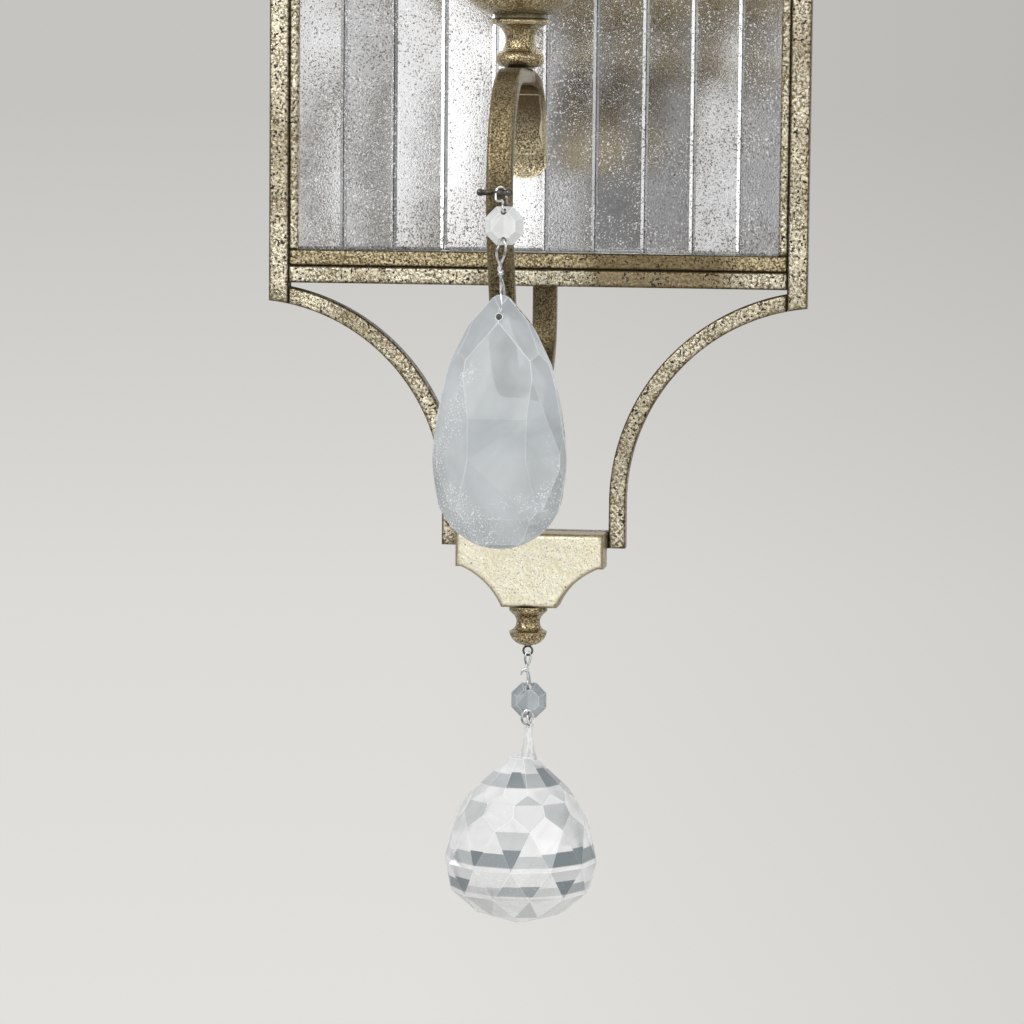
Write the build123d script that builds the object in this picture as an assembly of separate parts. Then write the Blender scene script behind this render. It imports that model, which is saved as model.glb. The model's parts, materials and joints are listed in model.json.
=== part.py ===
from build123d import *
import math
import os

# A mirrored wall light with one candle arm and two hanging crystals. Millimetres.
# X runs to the right, the light faces -Y, Z is up and the origin is on the wall,
# in the middle of the mirrored frame. "level" is a height above the lower rail's
# underside and "reach" a distance out from the frame's front face.

# Frame of bars
frame_width = 203.2
frame_height = 235.0
bar_depth = 6.5
wiring_room = 10.9
stile_width = 7.6
rail_height = 6.4
bar_rounding = 1.2
lip_width = 3.5
lip_height = 6.2
lip_depth = 2.8
lip_setback = 0.7
lip_rounding = 1.1

# Arcs, cross bars, shaped plates and finials, above and below the frame
arc_bar = 6.3
arc_radius = 74.0
corner_drop = 6.9
foot_width = 69.6
foot_drop = 98.0
plate_width = 55.8
plate_front = 12.0
plate_lap = 2.0
plate_side = 13.1
plate_sweep_width = 51.6
plate_sweep_mid_width = 32.6
plate_sweep_mid_drop = 6.4
plate_tip_width = 20.8
plate_tip_drop = 15.0
plate_rounding = 1.9
finial_radius = 7.2
finial_flange = 1.7
finial_ring_radius = 5.6
finial_ring_drop = 3.2
finial_neck_radius = 4.5
finial_neck_drop = 5.2
finial_bead_drop = 9.5
finial_taper_radius = 5.6
finial_taper_drop = 12.8
finial_tip_radius = 1.9
finial_length = 14.8
foot_offset = -0.8

# Mirror strips, set as a shallow concave fan
strip_count = 10
strip_joint = 0.15
strip_thickness = 2.5
strip_bevel = 1.2
strip_bevel_drop = 0.45
fan_depth = 22.1
fan_side_gap = 1.44
fan_clearance = 0.2
strip_hidden = 0.4
shelf_thickness = 1.0
backing_thickness = 0.8
backing_inset = 2.3

# Back pan and wall bracket
sheet = 1.0
pan_inset = 6.0
pan_end_inset = 1.0
window_width = 114.0
window_low = 24.0
bracket_length = 110.0
bracket_height = 25.0
bracket_thickness = 2.4
tongue_length = 100.0
tongue_rise = 9.5
tongue_thickness = 1.4
tongue_gap = 0.2
outlet_hole_radius = 9.5
box_screw_spacing = 88.9
box_slot_length = 14.0
box_slot_radius = 2.3
ground_screw_x = 21.0
ground_screw_radius = 2.0
ground_head_radius = 3.8
ground_head_height = 1.8

# Arm: a flat brass tube, bent in one plane
arm_width = 9.2
arm_thickness = 5.6
arm_wall = 1.1
arm_rounding = 1.4
arm_bore_rounding = 0.9
arm_back_reach = -30.0
arm_top_level = 8.0
arm_bottom_level = -38.0
arm_heel_radius = 26.0
arm_toe_reach = 77.6
arm_toe_radius = 40.0
arm_brow_reach = 108.0
arm_brow_level = 42.0
arm_brow_radius = 54.0
arm_crown_reach = 87.6
arm_crown_level = 77.6
arm_crown_radius = 25.0
candle_reach = 51.0
arm_slot_gap = 0.2

# The arm's leaf-shaped tip, which turns down behind the candle's axis
leaf_start_reach = 45.0
leaf_end_level = 40.8
leaf_end_radius = 9.2
leaf_edge_share = 0.3
# Its stations after the start: reach, level, downward pitch in degrees, width and thickness
leaf_stations = [
    (41.0, 75.7, 35.0, 12.6, 4.8),
    (37.6, 71.8, 65.0, 14.4, 3.6),
    (35.6, 65.0, 80.0, 15.2, 2.8),
    (33.8, 53.0, 84.0, 15.6, 2.6),
    (33.2, 40.8, 90.0, 15.6, 2.6),
]
leaf_hollow = 1.0
leaf_hollow_level = 73.0
leaf_rim = 1.5

# Clamp that holds the arm inside the pan
block_length = 30.0
block_height = 7.0
saddle_sheet = 1.2
saddle_screw_spacing = 21.0
saddle_screw_radius = 1.5
saddle_head_radius = 2.7
saddle_head_height = 1.6

# Candle: neck, cup, riser, holder, sleeve and lamp, by level
neck_collar_radius = 5.6
neck_collar_height = 0.6
neck_bead_radius = 8.8
neck_bead_flat = 6.6
neck_bead_height = 5.8
neck_waist_radius = 5.3
neck_waist_rise = 9.7
neck_flange_radius = 10.7
neck_flange_flat = 9.3
neck_flange_rise = 15.1
neck_flange_height = 2.2
neck_height = 18.8
cup_rise = 14.5
cup_radius = 23.5
cup_belly_radius = 19.0
cup_belly_rise = 5.0
cup_base_radius = 11.4
cup_wall = 1.2
# Which way the cup's wall grows at its belly, as a direction into the cup
cup_belly_inward = (0.8, 0.6)
riser_radius = 4.0
riser_bore = 3.0
riser_clearance = 0.05
nut_radius = 7.0
nut_height = 3.0
sleeve_radius = 11.0
sleeve_wall = 0.9
sleeve_height = 101.6
holder_radius = 8.2
holder_length = 27.0
holder_bore = 6.1
holder_depth = 21.0
holder_drop = 1.5
cap_radius = 5.9
cap_height = 19.0
cap_clearance = 0.5
glass_length = 78.0
glass_radius = 17.5
glass_belly_rise = 24.0
glass_shoulder_radius = 15.0
glass_shoulder_rise = 12.0
glass_taper_radius = 11.2
glass_taper_rise = 44.4
glass_neck_radius = 5.4
glass_tip_radius = 1.6
glass_wall = 0.8
stem_radius = 3.4
stem_height = 16.0
filament_rise = 26.0
filament_width = 9.0
filament_foot_width = 2.0
filament_bend = 1.5
filament_wire = 0.35

# Leads and their connectors inside the pan
lead_radius = 0.9
lead_spacing = 2.1
lead_back = 6.0
lead_kink_level = 24.0
lead_kink_radius = 8.0
lead_turn_radius = 2.6
lead_spread = 12.0
lead_spread_level = 44.0
lead_end_level = 58.0
connector_radius = 4.5
connector_tip_radius = 3.2
connector_length = 20.0
ground_lead_radius = 0.8
ground_bow = 4.0
ground_lift = 1.0
ground_bends = [9.0, 14.0, 9.0, 4.0]

# Wire links, octagon beads and the two crystals
wire_radius = 0.45
wire_gap = 0.3
hook_stem_x = -1.2
hook_left_x = -5.4
hook_right_x = 4.6
hook_radius = 1.05
hook_knob = 1.3
hook_level = 37.2
hook_reach = 112.5
hook_root_reach = 103.0
arm_link_x = 2.9
arm_bead_x = 3.2
arm_bead_drop = 11.4
almond_wire_x = 2.8
almond_x = 2.3
bead_radius = 7.2
bead_table_radius = 4.1
bead_half_depth = 3.2
bead_girdle = 0.4
bead_hole_offset = 4.9
bead_hole_radius = 1.1
loop_half_width = 3.7
loop_bend = 1.2
almond_loop_half_width = 6.2
almond_loop_bend = 1.0
turn_share = 0.95
closed_half = 0.65
closed_bend = 0.6
barrel_radius = 1.1
barrel_length = 3.4
almond_barrel_level = 12.2
almond_hole_level = -5.4
almond_top_level = 2.0
almond_half_depth = 8.8
eye_radius = 1.7
eye_wire = 0.4
eye_drop = 2.1
eye_shank = 3.0
bore_gap = 0.05
foot_link_x = -0.5
foot_bead_x = -0.2
foot_bead_level = -155.5
ball_x = -2.7
boss_level = -165.0
boss_radius = 1.9
boss_waist_radius = 1.65
boss_waist_drop = 3.4
boss_foot_radius = 3.7
boss_foot_drop = 13.4
boss_sink = 1.2
ball_loop_half_width = 2.9
ball_loop_bend = 1.1

# The almond's outline, as circles (height above its lowest point, radius)
almond_circles = [(22.5, 22.5), (31.0, 23.5), (46.0, 21.7), (58.0, 18.6), (70.0, 13.6), (84.3, 4.2)]
almond_middle = 38.5
# Its facets: (turn from the front, tilt up) in degrees, each cut on all four quarters
almond_facets = [(0, 3), (0, -5), (22, 0), (40, 7), (44, -9), (60, 0), (74, 10), (76, -10),
                 (0, -24), (34, -30), (62, -28), (0, -50), (50, -52), (28, 24), (60, 26), (0, 40)]

# The ball's rings of corners, from below: (height above its lowest point, radius). The corners
# of each ring stand over the middles of the sides of the ring below it.
ball_sides = 12
ball_tip = (0.4, 0.0)
ball_foot = (5.8, 17.3)
ball_lower = (13.9, 26.5)
ball_girdle = (25.0, 29.0)
ball_upper = (39.7, 25.6)
ball_crown = (49.0, 20.7)
ball_shoulder = (53.3, 17.1)
ball_neck = (65.0, 3.9)
ball_cut = 0.8

# Worked out from the sizes above
half_width = frame_width / 2
half_height = frame_height / 2
inner_x = half_width - stile_width
foot_half = foot_width / 2
arc_centre_x = foot_half + arc_radius
arc_centre_level = -corner_drop - math.sqrt(arc_radius ** 2 - (arc_centre_x - half_width) ** 2)
fan_half_chord = inner_x - fan_side_gap
fan_radius = (fan_half_chord ** 2 + fan_depth ** 2) / fan_depth / 2
strip_angle = 2 * math.asin(fan_half_chord / fan_radius) / strip_count
strip_pitch = 2 * fan_radius * math.sin(strip_angle / 2)
strip_width = strip_pitch - strip_joint
lip_inset = lip_setback + lip_depth
fan_stack = fan_clearance + fan_depth + strip_thickness + backing_thickness
pan_depth = wiring_room + fan_stack + lip_inset - bar_depth
front = pan_depth + bar_depth
lip_back = front - lip_inset
lip_level = rail_height + lip_height
strip_level = lip_level - strip_hidden
strip_height = frame_height - 2 * strip_level
fan_centre = lip_back - fan_clearance + fan_radius - fan_depth
pan_half_width = half_width - pan_inset
pan_half_height = half_height - pan_end_inset
plate_y = front + plate_front / 2 - plate_lap / 2
hinge_spread = wire_radius + wire_gap
hook_loop = hook_radius + hinge_spread
eye_loop = eye_wire + hinge_spread
neck_level = arm_crown_level + arm_thickness / 2
cup_level = neck_level + neck_collar_height + neck_height
sleeve_level = cup_level + cup_wall
holder_top = sleeve_level + sleeve_height - holder_drop
cap_level = holder_top - holder_depth + cap_clearance
almond_low_level = almond_top_level - almond_circles[-1][0] - almond_circles[-1][1]
arm_bead_level = hook_level - arm_bead_drop
finial_level = -foot_drop + arc_bar - plate_side - plate_tip_drop
foot_eye_level = finial_level - finial_length - eye_drop
foot_hinge_level = foot_eye_level - eye_radius
past = 1.0  # how far a cut runs past a face
through = 12.0  # half the length of a hole through a bead or a crystal

os.makedirs("parts", exist_ok=True)


def up(level):
    """Height of a level above the lower rail's underside."""
    return level - half_height


def out(reach):
    """Place on Y of a reach in front of the frame's front face."""
    return -front - reach


def save(name, shape):
    """Write one sub-part to its own file."""
    shape.label = name
    export_step(shape, f"parts/{name}.step")


def block(x, y, z):
    """A box from three (low, high) pairs."""
    centre = Vector((x[0] + x[1]) / 2, (y[0] + y[1]) / 2, (z[0] + z[1]) / 2)
    return Pos(centre) * Box(x[1] - x[0], y[1] - y[0], z[1] - z[0])


def bar(face, near, depth, rounding):
    """Raise a face drawn on XZ by depth, up to the reach near, with rounded front edges."""
    solid = extrude(Plane.XZ.offset(front + near - depth) * face, amount=depth)
    edges = solid.edges().filter_by_position(Axis.Y, out(near) - 0.01, out(near) + 0.01)
    return fillet(edges, rounding)


def panel(x, z):
    """A flat rectangle for bar(), from two (low, high) pairs."""
    return Pos((x[0] + x[1]) / 2, (z[0] + z[1]) / 2) * Rectangle(x[1] - x[0], z[1] - z[0])


def cylinder_y(x, z, radius, y_low, y_high):
    """A cylinder along Y."""
    return Pos(x, (y_low + y_high) / 2, z) * Rot(90, 0, 0) * Cylinder(radius, y_high - y_low)


def cylinder_z(x, y, radius, z_low, z_high):
    """A cylinder along Z."""
    return Pos(x, y, (z_low + z_high) / 2) * Cylinder(radius, z_high - z_low)


def cut_facets(solid, planes):
    """Cut a crystal back to the inside of every (normal, point) plane."""
    for normal, point in planes:
        solid = split(solid, bisect_by=Plane(origin=point, z_dir=normal), keep=Keep.BOTTOM)
    return solid


def fan_point(step, depth):
    """Corner of the mirror fan, step strips from the middle and depth behind the glass face."""
    reach = fan_radius + depth / math.cos(strip_angle / 2)
    turn = step * strip_angle
    return (reach * math.sin(turn), reach * math.cos(turn) - fan_centre)


def wire_along(path, radius):
    """A round wire along a path."""
    return sweep(Plane(origin=path @ 0, z_dir=path % 0) * Circle(radius), path=path)


def loop(x, y, low, high):
    """A closed wire loop in the YZ plane; each end is (height, half width, corner radius)."""
    low_z, low_half, low_bend = low
    high_z, high_half, high_bend = high
    corners = [(x, y - low_half, low_z), (x, y + low_half, low_z),
               (x, y + high_half, high_z), (x, y - high_half, high_z)]
    bends = [low_bend, low_bend, high_bend, high_bend]
    path = FilletPolyline(*corners, radius=bends, close=True)
    return wire_along(path, wire_radius)


# Frame: the stiles run past the rails, to the arcs' curve
arc_z = up(arc_centre_level)
stile_face = panel((inner_x, half_width), (arc_z, -arc_z))
for centre_z in (arc_z, -arc_z):
    stile_face -= Pos(arc_centre_x, centre_z) * Circle(arc_radius)
right_stile = bar(stile_face, 0, bar_depth, bar_rounding)
lower_rail = bar(panel((-inner_x, inner_x), (up(0), up(rail_height))), 0, bar_depth, bar_rounding)
lip_z = (up(rail_height), up(lip_level))
rail_lip = bar(panel((-inner_x, inner_x), lip_z), -lip_setback, lip_depth, lip_rounding)
side_lip_z = (up(lip_level), -up(lip_level))
side_lip = bar(panel((inner_x - lip_width, inner_x), side_lip_z), -lip_setback, lip_depth, lip_rounding)
save("right_stile", right_stile)
save("left_stile", mirror(right_stile, about=Plane.YZ))
save("lower_rail", lower_rail)
save("upper_rail", mirror(lower_rail, about=Plane.XY))
save("lower_lip", rail_lip)
save("upper_lip", mirror(rail_lip, about=Plane.XY))
save("right_lip", side_lip)
save("left_lip", mirror(side_lip, about=Plane.YZ))

# Arcs: a ring from the stile's inner side, then a straight leg down to the cross bar
ring = Circle(arc_radius + arc_bar) - Circle(arc_radius)
ring_x = (foot_half - arc_bar - past, inner_x)
ring_part = Pos(arc_centre_x, arc_z) * ring & panel(ring_x, (arc_z, up(0)))
leg = panel((foot_half - arc_bar, foot_half), (up(-foot_drop), arc_z))
arc = bar(ring_part + leg, 0, bar_depth, bar_rounding)
save("lower_right_arc", arc)
save("lower_left_arc", mirror(arc, about=Plane.YZ))
save("upper_right_arc", mirror(arc, about=Plane.XY))
save("upper_left_arc", mirror(mirror(arc, about=Plane.XY), about=Plane.YZ))

# Cross bar, and the shaped plate that laps its front and underside
bar_x = foot_half - arc_bar
plate_top = up(arc_bar - foot_drop)
cross_bar = bar(panel((-bar_x, bar_x), (up(-foot_drop), plate_top)), 0, bar_depth, bar_rounding)
shoulder = plate_top - plate_side
tip = shoulder - plate_tip_drop
sweep_mid_z = shoulder - plate_sweep_mid_drop
right_sweep = [(plate_sweep_width / 2, shoulder), (plate_sweep_mid_width / 2, sweep_mid_z),
               (plate_tip_width / 2, tip)]
left_sweep = [(-x, z) for x, z in reversed(right_sweep)]
outline = [
    Line((-plate_width / 2, plate_top), (plate_width / 2, plate_top)),
    Line((plate_width / 2, plate_top), (plate_width / 2, shoulder)),
    Line((plate_width / 2, shoulder), (plate_sweep_width / 2, shoulder)),
    ThreePointArc(*right_sweep),
    Line((plate_tip_width / 2, tip), (-plate_tip_width / 2, tip)),
    ThreePointArc(*left_sweep),
    Line((-plate_sweep_width / 2, shoulder), (-plate_width / 2, shoulder)),
    Line((-plate_width / 2, shoulder), (-plate_width / 2, plate_top)),
]
plate = bar(make_face(outline), plate_front, plate_front + plate_lap, plate_rounding)
plate = plate - block((-plate_width, plate_width), (out(0), 0), (up(-foot_drop), plate_top + past))
save("lower_cross_bar", cross_bar)
save("upper_cross_bar", mirror(cross_bar, about=Plane.XY))
save("lower_plate", plate)
save("upper_plate", mirror(plate, about=Plane.XY))

# Turned finials, threaded into the plates' ends
finial_profile = [
    Line((0, 0), (finial_radius, 0)),
    Line((finial_radius, 0), (finial_radius, -finial_flange)),
    Line((finial_radius, -finial_flange), (finial_ring_radius, -finial_ring_drop)),
    ThreePointArc((finial_ring_radius, -finial_ring_drop), (finial_neck_radius, -finial_neck_drop),
                  (finial_radius, -finial_bead_drop)),
    ThreePointArc((finial_radius, -finial_bead_drop), (finial_taper_radius, -finial_taper_drop),
                  (finial_tip_radius, -finial_length)),
    Line((finial_tip_radius, -finial_length), (0, -finial_length)),
    Line((0, -finial_length), (0, 0)),
]
finial = revolve(Plane.XZ * make_face(finial_profile), Axis.Z)
lower_finial = Pos(foot_offset, -plate_y, up(finial_level)) * finial
finial_low = up(finial_level - finial_length)
eye_bore = cylinder_z(foot_offset, -plate_y, eye_wire + bore_gap, finial_low - past, finial_low + eye_shank)
save("lower_finial", lower_finial - eye_bore)
save("upper_finial", mirror(lower_finial, about=Plane.XY))

# Mirror strips, with the ground bevel on all four front edges
strip = Box(strip_width, strip_thickness, strip_height, align=(Align.CENTER, Align.MIN, Align.CENTER))
for side in (1, -1):
    edge_plane = Plane(origin=(side * strip_width / 2, strip_bevel_drop, 0),
                       z_dir=(side * strip_bevel_drop, -strip_bevel, 0))
    strip = split(strip, bisect_by=edge_plane, keep=Keep.BOTTOM)
    end_plane = Plane(origin=(0, strip_bevel_drop, side * strip_height / 2),
                      z_dir=(0, -strip_bevel, side * strip_bevel_drop))
    strip = split(strip, bisect_by=end_plane, keep=Keep.BOTTOM)
facet_radius = fan_radius * math.cos(strip_angle / 2)
for number in range(strip_count):
    turn = (number + 0.5 - strip_count / 2) * strip_angle
    place = Pos(facet_radius * math.sin(turn), facet_radius * math.cos(turn) - fan_centre, 0)
    save(f"mirror_strip_{number + 1:02d}", place * Rot(0, 0, -math.degrees(turn)) * strip)

# Tray of folded sheet that carries the strips: a backing with a shelf at each end
steps = [number - strip_count / 2 for number in range(strip_count + 1)]
back_line = [fan_point(step, strip_thickness) for step in steps]
end_x = fan_point(strip_count / 2, 0)[0]
shelf_face = make_face(Polyline((-end_x, -lip_back), *back_line, (end_x, -lip_back), close=True))
shelf = extrude(Plane.XY.offset(up(strip_level)) * shelf_face, amount=-shelf_thickness)
steps[0] = steps[0] + backing_inset / strip_pitch
steps[-1] = -steps[0]
near_line = [fan_point(step, strip_thickness) for step in steps[1:-1]]
far_line = [fan_point(step, strip_thickness + backing_thickness) for step in steps[1:-1]]


def toward(a, b):
    """A point short of b by the backing's inset, on the line from a."""
    share = 1 - backing_inset / strip_pitch
    return (a[0] + (b[0] - a[0]) * share, a[1] + (b[1] - a[1]) * share)


half_steps = strip_count / 2
near_ends = [toward(near_line[-1], fan_point(half_steps, strip_thickness))]
far_ends = [toward(far_line[-1], fan_point(half_steps, strip_thickness + backing_thickness))]
backing_points = [(-near_ends[0][0], near_ends[0][1]), *near_line, near_ends[0],
                  far_ends[0], *reversed(far_line), (-far_ends[0][0], far_ends[0][1])]
backing_face = make_face(Polyline(*backing_points, close=True))
backing = extrude(Plane.XY.offset(up(strip_level) - shelf_thickness) * backing_face,
                  amount=strip_height + 2 * shelf_thickness)
save("mirror_tray", backing + shelf + mirror(shelf, about=Plane.XY))

# Back pan: a tray of thin sheet, open to the front, with a window over the wall's outlet
arm_y = out(arm_back_reach)
slot_x = arm_width / 2 + arm_slot_gap
slot_y = arm_thickness / 2 + arm_slot_gap
pan_x = (-pan_half_width, pan_half_width)
pan_z = (-pan_half_height, pan_half_height)
back_pan = block(pan_x, (-pan_depth, 0), pan_z)
back_pan -= block((-pan_half_width + sheet, pan_half_width - sheet), (-pan_depth, -sheet),
                  (-pan_half_height + sheet, pan_half_height - sheet))
back_pan -= block((-window_width / 2, window_width / 2), (-sheet, 0), (-window_low, bracket_height / 2))
back_pan -= block((-slot_x, slot_x), (arm_y - slot_y, arm_y + slot_y),
                  (-pan_half_height - sheet, -pan_half_height + 2 * sheet))
save("back_pan", back_pan)

# Wall bracket: a bar over the outlet box, with a tongue that the pan's window hangs on
bracket = block((-bracket_length / 2, bracket_length / 2), (-bracket_thickness, 0),
                (-bracket_height / 2, bracket_height / 2))
tongue_back = -sheet - tongue_gap
bracket += block((-tongue_length / 2, tongue_length / 2), (tongue_back - tongue_thickness, tongue_back),
                 (bracket_height / 2 - bracket_thickness, bracket_height / 2 + tongue_rise))
bracket -= cylinder_y(0, 0, outlet_hole_radius, -2 * bracket_thickness, 0)
slot_face = SlotOverall(box_slot_length, 2 * box_slot_radius)
slot = Rot(90, 0, 0) * extrude(slot_face, amount=bracket_thickness, both=True)
for side in (1, -1):
    bracket -= Pos(side * box_screw_spacing / 2, 0, 0) * slot
bracket -= cylinder_y(ground_screw_x, 0, ground_screw_radius, -2 * bracket_thickness, 0)
save("wall_bracket", bracket)
ground_screw = cylinder_y(ground_screw_x, 0, ground_screw_radius, -bracket_thickness, 0)
ground_screw += cylinder_y(ground_screw_x, 0, ground_head_radius,
                           -bracket_thickness - ground_head_height, -bracket_thickness)
save("ground_screw", ground_screw)

# Arm: one flat tube from inside the pan, under the frame and up to the candle
arm_corners = [
    (0, arm_y, up(arm_top_level)),
    (0, arm_y, up(arm_bottom_level)),
    (0, out(arm_toe_reach), up(arm_bottom_level)),
    (0, out(arm_brow_reach), up(arm_brow_level)),
    (0, out(arm_crown_reach), up(arm_crown_level)),
    (0, out(leaf_start_reach), up(arm_crown_level)),
]
arm_radii = [arm_heel_radius, arm_toe_radius, arm_brow_radius, arm_crown_radius]
arm_path = FilletPolyline(*arm_corners, radius=arm_radii)
arm_start = Plane(origin=arm_path @ 0, x_dir=(1, 0, 0), z_dir=arm_path % 0)
arm_outside = sweep(arm_start * RectangleRounded(arm_width, arm_thickness, arm_rounding), path=arm_path)
bore_section = RectangleRounded(arm_width - 2 * arm_wall, arm_thickness - 2 * arm_wall, arm_bore_rounding)
arm_bore = sweep(arm_start * bore_section, path=arm_path)
candle_y = out(candle_reach)
stop = block((-arm_width, arm_width), (out(candle_reach - riser_radius - arm_wall), 0),
             (up(arm_crown_level - arm_thickness), up(neck_level)))
arm_tube = arm_outside - (arm_bore - stop)
riser_low = up(neck_level - arm_wall)
arm_tube -= cylinder_z(0, candle_y, riser_radius + riser_clearance, riser_low - past, up(neck_level) + past)
hook_y = out(hook_reach)
hook_stem = cylinder_y(hook_stem_x, up(hook_level), hook_radius, hook_y, out(hook_root_reach)) - arm_bore
arm_tube -= hook_stem
save("arm_tube", arm_tube)

# The leaf at the arm's end: it widens and thins as it turns down, and its front is hollow
leaf_sections = []
hollow_sections = []
leaf_start = (leaf_start_reach, arm_crown_level, 0, arm_width, arm_thickness)
for reach, level, pitch, width, thickness in [leaf_start, *leaf_stations]:
    section = RectangleRounded(width, thickness, leaf_edge_share * thickness)
    fall = math.radians(pitch)
    direction = (0, math.cos(fall), -math.sin(fall))
    station = Plane(origin=(0, out(reach), up(level)), x_dir=(1, 0, 0), z_dir=direction)
    leaf_sections.append(station * section)
    if level < leaf_hollow_level:
        hollow_sections.append(station * Pos(0, thickness / 2) * Ellipse(width / 2 - leaf_rim, leaf_hollow))
leaf_round = up(leaf_end_level) + leaf_end_radius


def leaf_outline(radius):
    """A round-ended outline around the leaf's end, raised on XZ."""
    face = Pos(0, leaf_round) * Circle(radius)
    face += panel((-radius, radius), (leaf_round, up(neck_level) + past))
    return extrude(Plane.XZ * face, amount=front + candle_reach)


leaf = loft(Sketch() + leaf_sections) & leaf_outline(leaf_end_radius)
leaf -= loft(Sketch() + hollow_sections) & leaf_outline(leaf_end_radius - leaf_rim)
save("arm_leaf", leaf)

# Hook on the arm's front: a stem with a cross pin, whose ends are knobs
pin_half = (hook_right_x - hook_left_x) / 2
pin_middle = Pos((hook_right_x + hook_left_x) / 2, hook_y, up(hook_level))
hook = hook_stem + pin_middle * Rot(0, 90, 0) * Cylinder(hook_radius, 2 * pin_half)
for end in (-pin_half, pin_half):
    hook += pin_middle * Pos(end, 0, 0) * Sphere(hook_knob)
save("arm_hook", hook)

# Clamp inside the pan: a block on the back sheet, a saddle over the tube and two screws
strap_back = arm_y + arm_thickness / 2
block_z = (-pan_half_height + sheet, -pan_half_height + sheet + block_height)
block_x = (-block_length / 2, block_length / 2)
clamp_block = block(block_x, (strap_back, -sheet), block_z)
saddle = block(block_x, (strap_back - saddle_sheet, strap_back), block_z)
saddle_x = arm_width / 2 + saddle_sheet
saddle += block((-saddle_x, saddle_x), (strap_back - arm_thickness - saddle_sheet, strap_back), block_z)
saddle -= block((-arm_width / 2, arm_width / 2), (strap_back - arm_thickness, strap_back), block_z)
block_mid = (block_z[0] + block_z[1]) / 2
screws = []
for side in (1, -1):
    screw_x = side * saddle_screw_spacing / 2
    shank = cylinder_y(screw_x, block_mid, saddle_screw_radius, strap_back - saddle_sheet, -2 * sheet)
    clamp_block -= shank
    saddle -= shank
    head_low = strap_back - saddle_sheet - saddle_head_height
    head = cylinder_y(screw_x, block_mid, saddle_head_radius, head_low, strap_back - saddle_sheet)
    screws.append(shank + head)
save("clamp_block", clamp_block)
save("arm_saddle", saddle)
save("saddle_screws", Compound(children=screws))

# Neck and cup under the candle
collar_z = up(neck_level)
neck_z = collar_z + neck_collar_height
bead_top = (neck_bead_flat, neck_z + neck_bead_height)
flange_low = (neck_flange_flat, neck_z + neck_flange_rise)
flange_top = (neck_flange_flat, neck_z + neck_flange_rise + neck_flange_height)
neck_profile = [
    Line((0, collar_z), (neck_collar_radius, collar_z)),
    Line((neck_collar_radius, collar_z), (neck_collar_radius, neck_z)),
    Line((neck_collar_radius, neck_z), (neck_bead_flat, neck_z)),
    ThreePointArc((neck_bead_flat, neck_z), (neck_bead_radius, neck_z + neck_bead_height / 2), bead_top),
    ThreePointArc(bead_top, (neck_waist_radius, neck_z + neck_waist_rise), flange_low),
    ThreePointArc(flange_low, (neck_flange_radius, (flange_low[1] + flange_top[1]) / 2), flange_top),
    Line(flange_top, (neck_flange_flat, up(cup_level))),
    Line((neck_flange_flat, up(cup_level)), (0, up(cup_level))),
    Line((0, up(cup_level)), (0, collar_z)),
]
riser_fit = riser_radius + riser_clearance
riser_hole = cylinder_z(0, candle_y, riser_fit, collar_z - past, up(sleeve_level) + past)
neck = Pos(0, candle_y, 0) * revolve(Plane.XZ * make_face(neck_profile), Axis.Z)
save("candle_neck", neck - riser_hole)


def cup_line(inset):
    """Half section of the cup's side, from its base to its rim, moved in by a wall."""
    base = up(cup_level) + inset
    belly = (cup_belly_radius - inset * cup_belly_inward[0],
             up(cup_level) + cup_belly_rise + inset * cup_belly_inward[1])
    return [
        Spline((cup_base_radius, base), belly, (cup_radius - inset, up(cup_level + cup_rise))),
        Line((0, base), (cup_base_radius, base)),
    ]


outer_side, outer_base = cup_line(0)
inner_side, inner_base = cup_line(cup_wall)
rim = Line(outer_side @ 1, inner_side @ 1)
axis_line = Line(outer_base @ 0, inner_base @ 0)
cup_face = make_face([outer_side, outer_base, inner_side, inner_base, rim, axis_line])
cup = Pos(0, candle_y, 0) * revolve(Plane.XZ * cup_face, Axis.Z)
save("candle_cup", cup - riser_hole)

# Riser tube, lock nut, holder and sleeve
holder_low = holder_top - holder_length
riser_top = holder_low + (holder_length - holder_depth) / 2
riser = cylinder_z(0, candle_y, riser_radius, riser_low, up(riser_top))
riser -= cylinder_z(0, candle_y, riser_bore, riser_low - past, up(riser_top) + past)
save("riser_tube", riser)
nut = extrude(Plane.XY.offset(up(sleeve_level)) * RegularPolygon(nut_radius, 6), amount=nut_height)
nut_z = (up(cup_level), up(sleeve_level + nut_height) + past)
nut = Pos(0, candle_y, 0) * nut - cylinder_z(0, candle_y, riser_radius + riser_clearance, *nut_z)
save("lock_nut", nut)
holder = cylinder_z(0, candle_y, holder_radius, up(holder_low), up(holder_top))
holder -= cylinder_z(0, candle_y, holder_bore, up(holder_top - holder_depth), up(holder_top) + past)
holder -= cylinder_z(0, candle_y, riser_radius + riser_clearance, up(holder_low) - past, up(riser_top))
for side in (1, -1):
    holder -= cylinder_z(side * lead_spacing / 2, candle_y, lead_radius + bore_gap,
                         up(riser_top) - past, up(holder_top - holder_depth) + past)
save("lamp_holder", holder)
sleeve_z = (up(sleeve_level), up(sleeve_level + sleeve_height))
sleeve = cylinder_z(0, candle_y, sleeve_radius, *sleeve_z)
sleeve -= cylinder_z(0, candle_y, sleeve_radius - sleeve_wall, sleeve_z[0] - past, sleeve_z[1] + past)
save("candle_sleeve", sleeve)

# Lamp: cap, blown flame-shaped glass, stem and filament
glass_level = cap_level + cap_height
save("lamp_cap", cylinder_z(0, candle_y, cap_radius, up(cap_level), up(glass_level)))


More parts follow.
